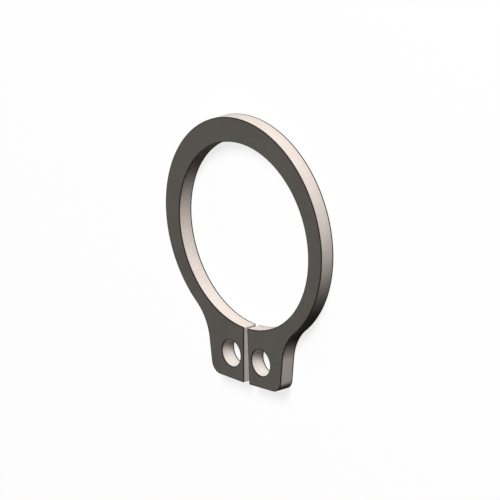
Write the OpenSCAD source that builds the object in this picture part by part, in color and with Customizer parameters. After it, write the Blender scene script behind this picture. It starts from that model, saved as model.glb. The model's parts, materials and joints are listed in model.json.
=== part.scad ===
// External retaining clip for a shaft groove, blanked from flat spring steel strip.
// It lies flat: the bore's axis is Z, the lower face is at Z = 0 and the gap points along -Y.

/* [Band] */
// Inner diameter of the relaxed clip
inner_d = 11.9; // [10:0.1:14]
// Width of the band opposite the gap, where it is widest
band_back_w = 1.57; // [1.2:0.01:2]
// Width that the band tapers towards at the gap, where the lugs cover it
band_front_w = 0.93; // [0.6:0.01:1.15]
// Thickness of the strip
thickness = 1.0; // [0.6:0.05:1.75]

/* [Gap] */
// Angle between the two gap faces, which both run through the bore's axis
gap_angle = 3.2; // [1:0.1:8]

/* [Lugs] */
// Reach of a lug beyond the bore, along its gap face
lug_reach = 3.6; // [3.2:0.05:4.4]
// Width of a lug's end, from its gap face to the flank, before the corner is rounded
lug_end_w = 2.82; // [2.5:0.01:3.4]
// Lean of the flank, which makes the lug wider towards the band
flank_angle = 9; // [3:0.5:14]
// Radius of the lug's outer corner
corner_r = 0.75; // [0.3:0.05:1]
// Radius of the hollow that blends the band into the flank
root_r = 3.15; // [1.5:0.05:4]

/* [Plier holes] */
// Diameter of each plier hole
hole_d = 1.7; // [1:0.05:1.9]
// Distance from a gap face to the hole's centre
hole_from_gap = 1.14; // [1.05:0.01:1.4]
// Distance from the lug's end to the hole's centre
hole_from_end = 1.62; // [1.3:0.01:2]

/* [Hidden] */
$fn = 96;

inner_r = inner_d / 2;
outer_r = inner_r + (band_back_w + band_front_w) / 2;
// The outer circle's centre lies behind the bore's axis, which gives the band its taper
band_shift = (band_back_w - band_front_w) / 2;
hole_r = hole_d / 2;
end_r = inner_r + lug_reach;
// Solids and cutters run past each other by this much, so that no two faces coincide
past = 0.5;
// Blending arcs are this much larger than a true tangent, so that each meets its neighbours
// in one clean edge
blend = 0.0005;

// A lug's frame is turned about the bore's axis so that its gap face is the line X = 0
lug_turn = gap_angle / 2;
band_centre = band_shift * [sin(lug_turn), cos(lug_turn)];
flank_foot = [lug_end_w, -end_r];
flank_up = [sin(flank_angle), cos(flank_angle)];
flank_out = [cos(flank_angle), -sin(flank_angle)];

// The hollow touches the flank and the band: its centre is root_r outside the flank's line
// and outer_r + root_r from the band's centre
root_base = flank_foot + root_r * flank_out - band_centre;
root_along = root_base * flank_up;
root_rise = -root_along - sqrt(root_along ^ 2 - root_base * root_base + (outer_r + root_r) ^ 2);
root_centre = band_centre + root_base + root_rise * flank_up;
root_on_flank = root_centre - root_r * flank_out;

// The corner's centre is corner_r inside both the flank and the end
corner_centre = flank_foot + corner_r * [(sin(flank_angle) - 1) / cos(flank_angle), 1];
corner_on_flank = corner_centre + corner_r * flank_out;
corner_on_end = corner_centre - [0, corner_r];
hole_centre = [hole_from_gap, hole_from_end - end_r];

// Puts a lug's own outline on both sides of the gap
module on_both_lugs() {
    for (side = [0, 1])
        mirror([side, 0])
            rotate(lug_turn)
                children();
}

module band_outline() {
    translate([0, band_shift])
        circle(r = outer_r);
}

// One lug, from inside the band to its end, before the hollow is cut at its root
module lug_outline() {
    polygon([
        band_centre,
        [-past, 0],
        [-past, -end_r],
        corner_on_end,
        corner_on_flank,
        root_on_flank,
        root_centre
    ]);
    translate(corner_centre)
        circle(r = corner_r + blend);
}

module gap_wedge() {
    reach = end_r + past;
    half_w = reach * tan(lug_turn);
    polygon([[0, 0], [-half_w, -reach], [half_w, -reach]]);
}

module clip_outline() {
    difference() {
        union() {
            band_outline();
            on_both_lugs() lug_outline();
        }
        circle(r = inner_r);
        gap_wedge();
        on_both_lugs() {
            translate(root_centre) circle(r = root_r + blend);
            translate(hole_centre) circle(r = hole_r);
        }
    }
}

module clip() {
    color([0.34, 0.33, 0.31])
        linear_extrude(thickness)
            clip_outline();
}

clip();
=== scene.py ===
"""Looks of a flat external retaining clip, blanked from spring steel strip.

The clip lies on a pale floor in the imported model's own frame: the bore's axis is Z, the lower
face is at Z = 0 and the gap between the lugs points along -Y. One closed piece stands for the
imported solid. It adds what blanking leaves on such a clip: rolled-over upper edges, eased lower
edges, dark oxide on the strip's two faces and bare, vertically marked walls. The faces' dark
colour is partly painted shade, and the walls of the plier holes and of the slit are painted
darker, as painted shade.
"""

import json
import logging
from cmath import exp, phase
from dataclasses import dataclass, replace
from enum import IntEnum
from math import cos, pi, radians, sin, sqrt, tau
from typing import Any

import bpy
import numpy as np
from mathutils import Euler, Matrix, Vector
from mathutils.geometry import delaunay_2d_cdt

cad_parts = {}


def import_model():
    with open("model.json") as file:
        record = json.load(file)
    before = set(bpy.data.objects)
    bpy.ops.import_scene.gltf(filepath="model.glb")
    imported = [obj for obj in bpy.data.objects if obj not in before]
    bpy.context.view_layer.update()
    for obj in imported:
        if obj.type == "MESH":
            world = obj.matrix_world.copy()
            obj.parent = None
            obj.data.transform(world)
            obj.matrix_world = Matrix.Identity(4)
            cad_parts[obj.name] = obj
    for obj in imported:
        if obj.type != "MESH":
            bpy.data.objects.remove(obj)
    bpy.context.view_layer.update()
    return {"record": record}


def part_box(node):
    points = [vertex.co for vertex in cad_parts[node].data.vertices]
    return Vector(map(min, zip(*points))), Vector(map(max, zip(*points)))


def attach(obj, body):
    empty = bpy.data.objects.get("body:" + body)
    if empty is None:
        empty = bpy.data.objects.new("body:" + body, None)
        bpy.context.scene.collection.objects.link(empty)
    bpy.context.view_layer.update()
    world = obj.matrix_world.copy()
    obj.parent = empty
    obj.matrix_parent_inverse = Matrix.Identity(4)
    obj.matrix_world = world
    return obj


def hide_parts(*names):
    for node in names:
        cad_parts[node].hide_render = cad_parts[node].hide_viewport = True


LOG = logging.getLogger("retaining_clip")
MM = 0.001
# The span that a noise texture's values mostly keep to
NOISE_SPAN = (0.3, 0.7)
Colour = tuple[float, float, float]


class Finish(IntEnum):
    """The finishes on the clip, in the order of the piece's material slots."""

    FACE = 0
    EDGE = 1
    WALL = 2
    # The plier holes' walls are painted darker and less warm than the outer walls, as painted
    # shade.
    HOLE = 3
    # The slit's walls are painted darker than the outer walls, as painted shade in the narrow gap.
    SLIT = 4


@dataclass(frozen=True)
class Run:
    """Points along one edge of the blank, seen from above, with the metal on their left.

    Places in the plane are complex numbers, x + iy, in metres. A run holds the middles of
    its equal steps, so that neighbouring runs share no point. outward points away from the
    metal, and finish is the wall's own, both at each point.
    """

    points: np.ndarray
    outward: np.ndarray
    finish: np.ndarray

    def turned(self, angle: float) -> "Run":
        """Returns the run turned about the origin by an angle in radians."""
        return replace(
            self, points=self.points * exp(1j * angle), outward=self.outward * exp(1j * angle)
        )

    def mirrored(self) -> "Run":
        """Returns the run mirrored left to right, in reverse, with the metal still on the left."""
        return Run(-self.points[::-1].conj(), -self.outward[::-1].conj(), self.finish[::-1])

    def finished(self, finish: Finish) -> "Run":
        """Returns the run with another finish on its wall."""
        return replace(self, finish=np.full_like(self.finish, finish))

    @staticmethod
    def joined(runs: list["Run"]) -> "Run":
        """Returns several runs as one."""
        return Run(
            np.concatenate([run.points for run in runs]),
            np.concatenate([run.outward for run in runs]),
            np.concatenate([run.finish for run in runs]),
        )


@dataclass(frozen=True)
class Tracer:
    """Traces straight and round runs with about the same step."""

    step: float = 0.07 * MM
    least_steps: int = 8

    def _middles(self, length: float) -> np.ndarray:
        """Returns the middles of equal steps over a length, as shares from 0 to 1."""
        count = max(self.least_steps, round(length / self.step))
        return (np.arange(count) + 0.5) / count

    def line(self, start: complex, end: complex) -> Run:
        """Traces a straight run.

        Args:
            start: Where the run starts.
            end: Where it ends.

        Returns:
            The run. Its outward side is to the right of the way it goes.
        """
        points = start + (end - start) * self._middles(abs(end - start))
        outward = np.full_like(points, -1j * (end - start) / abs(end - start))
        return Run(points, outward, np.full(len(points), Finish.WALL))

    def arc(self, centre: complex, radius: float, start: float, end: float) -> Run:
        """Traces a round run, centre + radius * exp(i angle).

        Args:
            centre: The arc's centre.
            radius: Its radius.
            start: The angle at which it starts, in radians.
            end: The angle at which it ends. Below start, the run goes clockwise.

        Returns:
            The run. Its outward side is the arc's outside, or its inside if it goes clockwise.
        """
        angles = start + (end - start) * self._middles(radius * abs(end - start))
        ray = np.exp(1j * angles)
        points = centre + radius * ray
        return Run(points, ray * np.sign(end - start), np.full(len(points), Finish.WALL))


@dataclass(frozen=True)
class Section:
    """The section of a blanked wall, from the upper face down to the lower one.

    Blanking rolls the upper edge over in a quarter of an ellipse, and the lower edge is eased
    to a quarter of a circle. The darker oxide of both edges reaches past them, as a rim on the
    face and on the wall. Inset is measured from the wall into the metal, and at the faces it
    has to stay below the radius of every arris, or the face's own outline would cross itself.
    """

    thickness: float
    roll_in: float = 0.015 * MM
    roll_down: float = 0.02 * MM
    ease: float = 0.015 * MM
    face_rim: float = 0.045 * MM
    upper_rim: float = 0.04 * MM
    lower_rim: float = 0.075 * MM
    edge_steps: int = 4
    wall_steps: int = 3

    def points(self) -> tuple[np.ndarray, np.ndarray]:
        """Returns the inset and the height of each point of the section."""
        turn = np.linspace(0, pi / 2, self.edge_steps + 1)
        top = self.thickness - self.roll_down
        wall = np.linspace(top - self.upper_rim, self.ease + self.lower_rim, self.wall_steps + 1)
        inset = [
            [self.roll_in + self.face_rim],
            self.roll_in * (1 - np.sin(turn)),
            wall * 0,
            self.ease * (1 - np.cos(turn)),
            [self.ease + self.face_rim],
        ]
        height = [
            [self.thickness],
            top + self.roll_down * np.cos(turn),
            wall,
            self.ease * (1 - np.sin(turn)),
            [0],
        ]
        return np.concatenate(inset), np.concatenate(height)

    def is_edge(self) -> np.ndarray:
        """Returns whether each strip between two neighbouring points belongs to an edge."""
        edge = np.full(self.edge_steps + 2, True)
        return np.concatenate([edge, np.full(self.wall_steps, False), edge])


@dataclass(frozen=True)
class ClipBlank:
    """The clip as one closed piece.

    A lug's own sizes are taken along and across its gap face, as on a drawing of half the clip.
    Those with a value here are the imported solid's own, except arris_r, the rounding of the gap
    faces' upright corners, which the solid hasn't got.
    """

    bore_r: float
    hole_r: float
    hole_centre: complex
    thickness: float
    band_r: float
    band_shift: float
    lug_end: float
    gap_angle: float = radians(3.2)
    lug_end_w: float = 2.82 * MM
    flank_lean: float = radians(9)
    corner_r: float = 0.75 * MM
    root_r: float = 3.15 * MM
    arris_r: float = 0.065 * MM

    def _lug(self, trace: Tracer) -> tuple[Run, complex, complex]:
        """Traces the right lug in its own frame, whose gap face is the line x = 0.

        The hollow at the lug's root touches both the flank and the band, so its centre is
        root_r outside the flank's line and band_r + root_r from the band's centre.

        Args:
            trace: Traces the runs.

        Returns:
            The run from the bore to the band, and the centres of the arris at the bore and of
            the hollow at the root.
        """
        band = 1j * self.band_shift * exp(-0.5j * self.gap_angle)
        out = exp(-1j * self.flank_lean)
        foot = self.lug_end_w - 1j * self.lug_end
        base = foot + self.root_r * out - band
        along = (base / (1j * out)).real
        reach = self.band_r + self.root_r
        root = band + base - (along + sqrt(along**2 - abs(base) ** 2 + reach**2)) * 1j * out
        lean = self.flank_lean
        corner = foot + self.corner_r * ((sin(lean) - 1) / cos(lean) + 1j)
        arris = self.arris_r
        mouth = arris - 1j * sqrt((self.bore_r + arris) ** 2 - arris**2)
        tip = arris - 1j * (self.lug_end - arris)
        runs = [
            trace.arc(mouth, arris, phase(-mouth), pi),
            # The slit's wall takes the finish that is painted darker, as painted shade.
            trace.line(1j * mouth.imag, 1j * tip.imag).finished(Finish.SLIT),
            trace.arc(tip, arris, pi, 1.5 * pi),
            trace.line(tip - 1j * arris, corner - 1j * self.corner_r),
            trace.arc(corner, self.corner_r, -pi / 2, -lean),
            trace.line(corner + self.corner_r * out, root - self.root_r * out),
            trace.arc(root, self.root_r, pi - lean, phase(band - root)),
        ]
        return Run.joined(runs), mouth, root

    def outline(self, trace: Tracer) -> Run:
        """Traces the clip's whole edge: round the bore, out along the gap and round the band."""
        turn = self.gap_angle / 2
        lug, mouth, root = self._lug(trace)
        band = 1j * self.band_shift
        half = Run.joined([
            trace.arc(0, self.bore_r, pi / 2, phase(mouth) + turn),
            lug.turned(turn),
            trace.arc(band, self.band_r, phase(root * exp(1j * turn) - band), pi / 2),
        ])
        return Run.joined([half, half.mirrored()])

    def loops(self, trace: Tracer) -> list[Run]:
        """Traces the clip's edge and its two plier holes."""
        # The holes' walls take the finish that is painted darker, as painted shade.
        hole = trace.arc(self.hole_centre, self.hole_r, tau, 0).finished(Finish.HOLE)
        return [self.outline(trace), hole, hole.mirrored()]

    def build(self, name: str) -> bpy.types.Object:
        """Makes the piece: the section carried along each loop, and a flat face on each side.

        Args:
            name: The piece's name.

        Returns:
            The piece. Its UV map measures metres along and up the walls, and along X and Y on
            the faces.
        """
        section = Section(self.thickness)
        inset, height = section.points()
        is_edge = section.is_edge()
        vertices, quads, surface, finishes, upper, lower = [], [], [], [], [], []
        count = 0
        for loop in self.loops(Tracer()):
            places = loop.points[:, None] - loop.outward[:, None] * inset
            heights = np.broadcast_to(height, places.shape)
            vertices.append(np.stack([places.real, places.imag, heights], -1).reshape(-1, 3))
            grid = count + np.arange(places.size).reshape(places.shape)
            quads.append(self._round_faces(grid, np.roll(grid, -1, axis=0)))
            steps = abs(np.roll(loop.points, -1) - loop.points)
            stop = np.broadcast_to(np.cumsum(steps)[:, None], places.shape)
            along = self._round_faces(stop - steps[:, None], stop)
            up = self._round_faces(heights, heights)
            surface.append(np.stack([along, up], -1).reshape(-1, 2))
            finishes.append(np.where(is_edge, Finish.EDGE, loop.finish[:, None]).ravel())
            upper.append(grid[:, 0])
            lower.append(grid[:, -1])
            count += places.size
        vertices = np.concatenate(vertices)
        fill = self._fill([vertices[ring, :2] for ring in upper])
        flats = np.concatenate([np.concatenate(upper)[fill], np.concatenate(lower)[fill[:, ::-1]]])
        surface.append(vertices[flats, :2].reshape(-1, 2))
        finishes.append(np.full(len(flats), Finish.FACE))
        faces = np.concatenate(quads).tolist() + flats.tolist()
        finishes, surface = np.concatenate(finishes), np.concatenate(surface)
        return self._piece(name, vertices, faces, finishes, surface)

    @staticmethod
    def _piece(
        name: str,
        vertices: np.ndarray,
        faces: list[list[int]],
        finishes: np.ndarray,
        surface: np.ndarray,
    ) -> bpy.types.Object:
        """Makes a piece, flat on the strip's faces and smooth elsewhere.

        Args:
            name: The piece's name.
            vertices: The places of its vertices.
            faces: The vertices of each face.
            finishes: The finish of each face.
            surface: The place on the UV map of each corner of each face.

        Returns:
            The piece.
        """
        mesh = bpy.data.meshes.new(name)
        mesh.from_pydata(vertices, [], faces)
        mesh.polygons.foreach_set("material_index", finishes.astype(np.int32))
        mesh.polygons.foreach_set("use_smooth", finishes != Finish.FACE)
        uv_map = mesh.uv_layers.new(name="along_and_up")
        uv_map.uv.foreach_set("vector", surface.astype(np.float32).ravel())
        mesh.update()
        piece = bpy.data.objects.new(name, mesh)
        bpy.context.scene.collection.objects.link(piece)
        return piece

    @staticmethod
    def _round_faces(here: np.ndarray, ahead: np.ndarray) -> np.ndarray:
        """Returns the values at the four corners of each face of a wall, going round it.

        Args:
            here: The values at the wall's vertices. Each row is one carried section.
            ahead: The values at the next section, in the same rows.

        Returns:
            A row of four values for each face.
        """
        corners = [here[:, :-1], here[:, 1:], ahead[:, 1:], ahead[:, :-1]]
        return np.stack(corners, -1).reshape(-1, len(corners))

    @staticmethod
    def _fill(rings: list[np.ndarray]) -> np.ndarray:
        """Fills the area between closed rings with triangles that face up.

        Args:
            rings: The x and y of each ring's points, the outermost ring first.

        Returns:
            The triangles, as indices into the rings' points in their order.
        """
        omit_holes = 2
        near = 1e-6
        starts = np.cumsum([0] + [len(ring) for ring in rings])
        filled = delaunay_2d_cdt(
            [Vector(place) for place in np.concatenate(rings) / MM],
            [],
            [list(range(*span)) for span in zip(starts[:-1], starts[1:])],
            omit_holes,
            near,
        )
        return np.array(filled[2])


class Bench:
    """Adds nodes to one tree and joins them.

    A Mix node's sockets for values and for colours share their names, so they go by number.
    """

    def __init__(self, tree: bpy.types.NodeTree) -> None:
        """Starts on a tree."""
        self.tree = tree

    @staticmethod
    def cleared(owner: bpy.types.Material | bpy.types.World) -> "Bench":
        """Starts on the tree of a material or of the world, with all its nodes taken out."""
        owner.use_nodes = True
        owner.node_tree.nodes.clear()
        return Bench(owner.node_tree)

    def add(self, kind: str, inputs: dict[str | int, Any] | None = None, **settings: Any) -> Any:
        """Adds a node.

        Args:
            kind: The node's type.
            inputs: What goes into its sockets: an output of another node, or a plain value.
            **settings: Its own settings.

        Returns:
            The node.
        """
        node = self.tree.nodes.new(kind)
        for name, value in settings.items():
            setattr(node, name, value)
        for key, value in (inputs or {}).items():
            if isinstance(value, bpy.types.NodeSocket):
                self.tree.links.new(value, node.inputs[key])
            else:
                node.inputs[key].default_value = value
        return node

    def math(self, operation: str, *values: Any) -> Any:
        """Adds a calculation on two or three values and returns its result socket."""
        return self.add("ShaderNodeMath", dict(enumerate(values)), operation=operation).outputs[0]

    def mix(self, share: Any, low: Any, high: Any) -> Any:
        """Adds a mix of two values and returns its result socket."""
        value_a, value_b = 2, 3
        return self.add("ShaderNodeMix", {0: share, value_a: low, value_b: high}).outputs[0]

    def blend(self, share: Any, low: Colour, high: Colour) -> Any:
        """Adds a mix of two colours and returns its result socket."""
        colour_a, colour_b, colour_out = 6, 7, 2
        sockets = {0: share, colour_a: (*low, 1), colour_b: (*high, 1)}
        return self.add("ShaderNodeMix", sockets, data_type="RGBA").outputs[colour_out]

    def remap(self, share: Any, low: float, high: float) -> Any:
        """Adds a map of a share from 0 to 1 onto a range and returns its result socket."""
        sockets = {"Value": share, "To Min": low, "To Max": high}
        return self.add("ShaderNodeMapRange", sockets).outputs[0]

    def as_share(self, value: Any, low: float, high: float) -> Any:
        """Adds a map of a range onto a share from 0 to 1 and returns its result socket."""
        sockets = {"Value": value, "From Min": low, "From Max": high}
        return self.add("ShaderNodeMapRange", sockets).outputs[0]


class EffectGroup:
    """A shader node group that materials share."""

    def __init__(self, name: str, inputs: dict[str, float], outputs: list[str]) -> None:
        """Makes the group with a Place input in millimetres and the named values.

        Args:
            name: The group's name.
            inputs: Each value that a material sets, with its default.
            outputs: The values that the group puts out.
        """
        self.tree = bpy.data.node_groups.new(name, "ShaderNodeTree")
        face = self.tree.interface
        face.new_socket("Place", in_out="INPUT", socket_type="NodeSocketVector")
        for key, value in inputs.items():
            socket = face.new_socket(key, in_out="INPUT", socket_type="NodeSocketFloat")
            socket.default_value = value
        for key in outputs:
            face.new_socket(key, in_out="OUTPUT", socket_type="NodeSocketFloat")
        self.bench = Bench(self.tree)
        self.given = self.bench.add("NodeGroupInput").outputs

    def put_out(self, results: dict[str, bpy.types.NodeSocket]) -> bpy.types.NodeTree:
        """Joins each named value to the group's output and returns the finished group."""
        self.bench.add("NodeGroupOutput", results)
        return self.tree


def build_drawn_grain() -> bpy.types.NodeTree:
    """Makes the group for fine lines along X, as rolling and shearing leave them.

    Fineness is the number of lines per millimetre, and Stretch how many times longer than wide
    a line is.

    Returns:
        The group. Tone is the lines' shade from 0 to 1 and Height is their relief.
    """
    group = EffectGroup("drawn_grain", {"Fineness": 12.0, "Stretch": 20.0}, ["Tone", "Height"])
    bench, given = group.bench, group.given
    along = bench.math("DIVIDE", given["Fineness"], given["Stretch"])
    scale = bench.add(
        "ShaderNodeCombineXYZ", {"X": along, "Y": given["Fineness"], "Z": given["Fineness"]}
    )
    place = bench.add(
        "ShaderNodeVectorMath", {0: given["Place"], 1: scale.outputs[0]}, operation="MULTIPLY"
    )
    lines = bench.add(
        "ShaderNodeTexNoise", {"Vector": place.outputs[0], "Scale": 1.0, "Detail": 3.0}
    ).outputs[0]
    return group.put_out({"Tone": bench.as_share(lines, *NOISE_SPAN), "Height": lines})


def build_mottle() -> bpy.types.NodeTree:
    """Makes the group for the soft clouding of an oxide film or of worked steel.

    Size is a cloud's size in millimetres, and Grit is the number of grains per millimetre.

    Returns:
        The group. Tone is the cloud's shade from 0 to 1 and Height is a fine grit.
    """
    group = EffectGroup("mottle", {"Size": 1.5, "Grit": 30.0}, ["Tone", "Height"])
    bench, given = group.bench, group.given
    per_mm = bench.math("DIVIDE", 1.0, given["Size"])
    cloud = bench.add(
        "ShaderNodeTexNoise",
        {"Vector": given["Place"], "Scale": per_mm, "Detail": 4.0, "Roughness": 0.6},
    ).outputs[0]
    grit = bench.add(
        "ShaderNodeTexNoise", {"Vector": given["Place"], "Scale": given["Grit"], "Detail": 2.0}
    ).outputs[0]
    return group.put_out({"Tone": bench.as_share(cloud, *NOISE_SPAN), "Height": grit})


def build_shear_zones() -> bpy.types.NodeTree:
    """Makes the group for a blanked wall, which is burnished above and torn below.

    The two zones meet in a wavy line at the height Tear above the lower face. Wave is how far
    the line would swing over the noise's whole range, and within Blur above and below the line
    the one zone passes into the other. All three are in millimetres.

    Returns:
        The group. Torn is 0 in the burnished zone and 1 in the torn one.
    """
    group = EffectGroup("shear_zones", {"Tear": 0.35, "Wave": 0.12, "Blur": 0.03}, ["Torn"])
    bench, given = group.bench, group.given
    waves_per_mm = 2.2
    noise_middle = sum(NOISE_SPAN) / 2
    wave = bench.add(
        "ShaderNodeTexNoise", {"Vector": given["Place"], "Scale": waves_per_mm, "Detail": 3.0}
    ).outputs[0]
    centred = bench.math("SUBTRACT", wave, noise_middle)
    line = bench.math("MULTIPLY_ADD", centred, given["Wave"], given["Tear"])
    height = bench.add("ShaderNodeSeparateXYZ", {0: given["Place"]}).outputs["Z"]
    below = bench.math("SUBTRACT", line, height)
    blurs_below = bench.math("DIVIDE", below, given["Blur"])
    return group.put_out({"Torn": bench.as_share(blurs_below, -1.0, 1.0)})


@dataclass(frozen=True)
class Effects:
    """The node groups that the finishes share."""

    grain: bpy.types.NodeTree
    mottle: bpy.types.NodeTree
    zones: bpy.types.NodeTree


@dataclass(frozen=True)
class SteelFinish:
    """A finish on the strip: clouded steel with fine lines along X, as rolling leaves them.

    The two values of roughness go with dark and light. fineness is the number of lines per
    millimetre, stretch how many times longer than wide a line is, cloud_size in millimetres,
    grain_share the lines' share of the tone and relief their depth in metres.
    """

    name: str
    dark: Colour
    light: Colour
    roughness: tuple[float, float]
    specular: float
    metal: float
    fineness: float
    stretch: float
    cloud_size: float
    grain_share: float
    relief: float

    def _in_mm(self, bench: Bench, source: str, turn: float = 0.0) -> Any:
        """Adds places in millimetres, turned about their third axis, and returns them.

        Args:
            bench: The material's bench.
            source: The output of Texture Coordinate that gives the places in metres.
            turn: The angle of the turn in radians.
        """
        place = bench.add("ShaderNodeTexCoord").outputs[source]
        sockets = {"Vector": place, "Scale": (1 / MM,) * 3, "Rotation": (0, 0, turn)}
        return bench.add("ShaderNodeMapping", sockets).outputs[0]

    def _line_places(self, bench: Bench) -> Any:
        """Adds the places that the lines follow: the piece's own, so they run along X."""
        return self._in_mm(bench, "Object")

    def _worked(self, bench: Bench, tone: Any, height: Any, cloud: Any, effects: Effects) -> Any:
        """Returns the tone and the relief as the strip has them before it is cut."""
        return tone, height

    def build(self, effects: Effects) -> bpy.types.Material:
        """Makes the material.

        Args:
            effects: The shared node groups.

        Returns:
            The material.
        """
        material = bpy.data.materials.new(self.name)
        bench = Bench.cleared(material)
        lines = bench.add(
            "ShaderNodeGroup",
            {
                "Place": self._line_places(bench),
                "Fineness": self.fineness,
                "Stretch": self.stretch,
            },
            node_tree=effects.grain,
        ).outputs
        cloud = bench.add(
            "ShaderNodeGroup",
            {"Place": self._in_mm(bench, "Object"), "Size": self.cloud_size},
            node_tree=effects.mottle,
        ).outputs
        mixed = bench.mix(self.grain_share, cloud["Tone"], lines["Tone"])
        tone, height = self._worked(bench, mixed, lines["Height"], cloud, effects)
        relief = bench.add(
            "ShaderNodeBump", {"Height": height, "Distance": self.relief, "Strength": 1.0}
        )
        steel = bench.add(
            "ShaderNodeBsdfPrincipled",
            {
                "Base Color": bench.blend(tone, self.dark, self.light),
                "Roughness": bench.remap(tone, *self.roughness),
                "Specular IOR Level": self.specular,
                "Metallic": self.metal,
                "Normal": relief.outputs[0],
            },
        )
        bench.add("ShaderNodeOutputMaterial", {"Surface": steel.outputs[0]})
        return material


@dataclass(frozen=True)
class WallFinish(SteelFinish):
    """A finish on a blanked wall: its lines run up it, and its lower part is torn and duller.

    tear is the height of the torn part in millimetres. torn_shade is the share of the tone that
    it loses, and torn_grit is its grit's share of the relief.
    """

    tear: float = 0.38
    torn_shade: float = 0.6
    torn_grit: float = 0.8

    def _line_places(self, bench: Bench) -> Any:
        """Adds the places that the lines follow: the wall's map, turned so they run up it."""
        return self._in_mm(bench, "UV", pi / 2)

    def _worked(self, bench: Bench, tone: Any, height: Any, cloud: Any, effects: Effects) -> Any:
        """Returns the tone and the relief with the torn part worked in."""
        torn = bench.add(
            "ShaderNodeGroup",
            {"Place": self._in_mm(bench, "Object"), "Tear": self.tear},
            node_tree=effects.zones,
        ).outputs[0]
        kept = bench.remap(torn, 1.0, 1 - self.torn_shade)
        grit_share = bench.remap(torn, 0.0, self.torn_grit)
        return bench.math("MULTIPLY", tone, kept), bench.mix(grit_share, height, cloud["Height"])


FINISHES = {
    # The faces' dark colour is partly the oxide's own and partly painted shade: they are painted
    # darker than the walls, as faces turned away from the light would look.
    Finish.FACE: SteelFinish(
        name="oxide_and_painted_shade_face",
        dark=(0.0619, 0.0565, 0.0486),
        light=(0.0747, 0.0689, 0.0596),
        roughness=(0.66, 0.58),
        specular=0.25,
        metal=1.0,
        fineness=14.0,
        stretch=24.0,
        cloud_size=1.8,
        grain_share=0.5,
        relief=0.0006 * MM,
    ),
    Finish.EDGE: SteelFinish(
        name="rolled_edge",
        dark=(0.017, 0.0153, 0.0140),
        light=(0.024, 0.0220, 0.0197),
        roughness=(0.6, 0.5),
        specular=0.02,
        metal=0.0,
        fineness=14.0,
        stretch=24.0,
        cloud_size=0.8,
        grain_share=0.5,
        relief=0.0004 * MM,
    ),
    Finish.WALL: WallFinish(
        name="blanked_wall",
        dark=(0.76, 0.673, 0.616),
        light=(0.88, 0.780, 0.714),
        roughness=(0.6, 0.45),
        specular=0.0,
        metal=0.0,
        fineness=10.0,
        stretch=16.0,
        cloud_size=1.2,
        grain_share=0.6,
        relief=0.001 * MM,
    ),
    # Painted shade: the holes' walls are painted darker and less warm than the outer walls.
    Finish.HOLE: WallFinish(
        name="punched_wall_painted_shade",
        dark=(0.67, 0.613, 0.575),
        light=(0.78, 0.714, 0.670),
        roughness=(0.6, 0.45),
        specular=0.0,
        metal=0.0,
        fineness=16.0,
        stretch=12.0,
        cloud_size=0.6,
        grain_share=0.6,
        relief=0.0008 * MM,
    ),
    # Painted shade: the slit's walls are painted darker than the outer walls.
    Finish.SLIT: WallFinish(
        name="slit_wall_painted_shade",
        dark=(0.62, 0.554, 0.513),
        light=(0.73, 0.652, 0.604),
        roughness=(0.6, 0.45),
        specular=0.0,
        metal=0.0,
        fineness=12.0,
        stretch=16.0,
        cloud_size=1.0,
        grain_share=0.6,
        relief=0.001 * MM,
    ),
}


def facing_clip(azimuth: float, elevation: float) -> Matrix:
    """Returns the turn of a camera or a lamp that faces the clip.

    Args:
        azimuth: The side from which it faces the clip, from +X towards +Y, in radians.
        elevation: Its height over the floor as seen from the clip, in radians.

    Returns:
        The turn. Its third column points from the clip to the camera or lamp.
    """
    return Euler((pi / 2 - elevation, 0, pi / 2 + azimuth)).to_matrix()


@dataclass(frozen=True)
class Camera:
    """The camera, without perspective, as the clip is seen.

    roll turns the camera about the line of sight, and view_w is the width of what it shows.
    """

    azimuth: float = radians(23.754)
    elevation: float = radians(38.822)
    roll: float = radians(-106.494)
    aim: tuple[float, float, float] = (0.450 * MM, -0.815 * MM, 0.896 * MM)
    view_w: float = 30.746 * MM
    distance: float = 60 * MM
    nearest: float = 1 * MM

    def place(self) -> None:
        """Makes the camera and sets it as the scene's."""
        data = bpy.data.cameras.new("camera")
        data.type = "ORTHO"
        data.ortho_scale = self.view_w
        data.clip_start = self.nearest
        camera = bpy.data.objects.new("camera", data)
        turned = facing_clip(self.azimuth, self.elevation) @ Matrix.Rotation(self.roll, 3, "Z")
        camera.matrix_world = Matrix.LocRotScale(
            Vector(self.aim) + turned.col[2] * self.distance, turned, None
        )
        bpy.context.scene.collection.objects.link(camera)
        bpy.context.scene.camera = camera


@dataclass(frozen=True)
class SoftLamp:
    """A round studio lamp that faces the clip.

    level is the brightness of a white surface that faces the lamp, where 1 is white.
    """

    name: str
    azimuth: float
    elevation: float
    level: float
    width: float
    distance: float = 900 * MM

    def place(self) -> None:
        """Makes the lamp.

        A flat lamp of a given power lights a white surface that faces it from a distance with
        the brightness power / (pi^2 distance^2), and this gives the power.
        """
        data = bpy.data.lights.new(self.name, "AREA")
        data.shape = "DISK"
        data.size = self.width
        data.energy = self.level * pi**2 * self.distance**2
        lamp = bpy.data.objects.new(self.name, data)
        turn = facing_clip(self.azimuth, self.elevation)
        lamp.matrix_world = Matrix.LocRotScale(turn.col[2] * self.distance, turn, None)
        bpy.context.scene.collection.objects.link(lamp)


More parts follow.
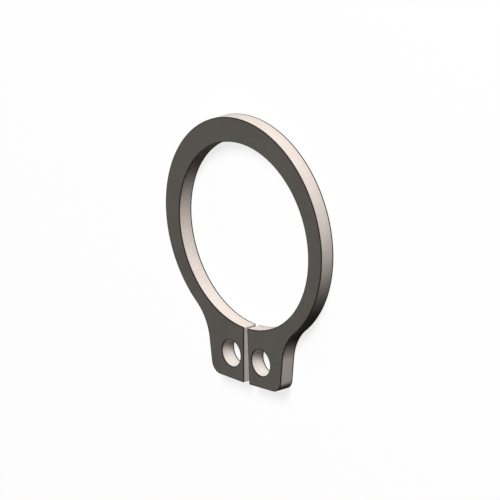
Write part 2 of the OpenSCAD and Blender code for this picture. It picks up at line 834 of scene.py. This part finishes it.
@dataclass(frozen=True)
class Studio:
    """The pale floor, the world and the lamps round the clip.

    The floor and the world show as white to the camera and in reflections. The floor's white is
    part glow and part lit colour, and shadow_share is the lit part, so the clip's shadow stays.
    floor_level is the brightness of a white surface on the floor under the lamps, where 1 is
    white, and bounce is the floor's colour in the light that it throws back onto the clip.
    """

    floor_w: float = 1.2
    floor_gap: float = 0.004 * MM
    shadow_share: float = 0.16
    floor_level: float = 1.24
    bounce: float = 0.02
    world_level: float = 0.008
    lamps: tuple[SoftLamp, ...] = (
        SoftLamp("key_lamp", radians(66), radians(45), 1.66, 420 * MM),
        SoftLamp("back_lamp", radians(218), radians(6), 0.36, 600 * MM),
    )

    @staticmethod
    def _seen(bench: Bench) -> Any:
        """Adds a share that is 1 for what the camera, a reflection or glass shows."""
        path = bench.add("ShaderNodeLightPath").outputs
        direct = bench.math("MAXIMUM", path["Is Camera Ray"], path["Is Glossy Ray"])
        return bench.math("MAXIMUM", direct, path["Is Transmission Ray"])

    def _floor_material(self) -> bpy.types.Material:
        """Makes the floor's white, which keeps the shadow, and its dull colour in other light."""
        material = bpy.data.materials.new("pale_floor")
        material.cycles.emission_sampling = "NONE"
        bench = Bench.cleared(material)
        lit_colour = (self.shadow_share,) * 3
        dull_colour = (self.bounce,) * 3
        glow_level = 1 - self.shadow_share * self.floor_level
        lit = bench.add("ShaderNodeBsdfDiffuse", {"Color": (*lit_colour, 1)})
        glow = bench.add("ShaderNodeEmission", {"Strength": glow_level})
        white = bench.add("ShaderNodeAddShader", {0: lit.outputs[0], 1: glow.outputs[0]})
        dull = bench.add("ShaderNodeBsdfDiffuse", {"Color": (*dull_colour, 1)})
        shown = bench.add(
            "ShaderNodeMixShader",
            {0: self._seen(bench), 1: dull.outputs[0], 2: white.outputs[0]},
        )
        bench.add("ShaderNodeOutputMaterial", {"Surface": shown.outputs[0]})
        return material

    def _place_floor(self) -> None:
        """Makes the floor just under the clip's lower face."""
        half = self.floor_w / 2
        z = -self.floor_gap
        mesh = bpy.data.meshes.new("floor")
        places = [(-half, -half, z), (half, -half, z), (half, half, z), (-half, half, z)]
        mesh.from_pydata(places, [], [(0, 1, 2, 3)])
        mesh.materials.append(self._floor_material())
        floor = bpy.data.objects.new("floor", mesh)
        bpy.context.scene.collection.objects.link(floor)

    def _light_world(self) -> None:
        """Makes the world: white where it is seen, and a dim even light."""
        world = bpy.data.worlds.new("studio")
        bench = Bench.cleared(world)
        level = bench.remap(self._seen(bench), self.world_level, 1.0)
        light = bench.add("ShaderNodeBackground", {"Color": (1, 1, 1, 1), "Strength": level})
        bench.add("ShaderNodeOutputWorld", {"Surface": light.outputs[0]})
        bpy.context.scene.world = world

    def set_up(self) -> None:
        """Makes the floor, the world and the lamps, and the plain view of colours."""
        self._place_floor()
        self._light_world()
        for lamp in self.lamps:
            lamp.place()
        bpy.context.scene.view_settings.view_transform = "Standard"


def build_clip(record: dict[str, Any]) -> bpy.types.Object:
    """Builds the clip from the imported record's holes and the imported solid's thickness.

    Args:
        record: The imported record.

    Returns:
        The dressed piece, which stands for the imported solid.
    """
    mounts = {mount["name"]: mount for mount in record["mounts"]}
    hole = mounts["plier_hole_right"]
    low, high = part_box("clip")
    blank = ClipBlank(
        bore_r=mounts["shaft_seat"]["dims"]["r_mm"] * MM,
        hole_r=hole["dims"]["r_mm"] * MM,
        hole_centre=complex(*hole["pos_m"][:2]),
        thickness=high.z - low.z,
        band_r=high.x,
        band_shift=high.y - high.x,
        lug_end=-low.y / cos(ClipBlank.gap_angle / 2),
    )
    clip = blank.build("spring_clip")
    effects = Effects(build_drawn_grain(), build_mottle(), build_shear_zones())
    for finish in Finish:
        clip.data.materials.append(FINISHES[finish].build(effects))
    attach(clip, "root")
    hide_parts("clip")
    return clip


def main() -> None:
    """Builds the camera, the clip and the studio in order."""
    logging.basicConfig(level=logging.INFO, format="%(name)s: %(message)s")
    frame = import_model()
    Camera().place()
    clip = build_clip(frame["record"])
    mesh = clip.data
    LOG.info("%s: %d vertices, %d faces", clip.name, len(mesh.vertices), len(mesh.polygons))
    studio = Studio()
    studio.set_up()
    LOG.info("floor, world and %d lamps are in place", len(studio.lamps))


if __name__ == "__main__":
    main()
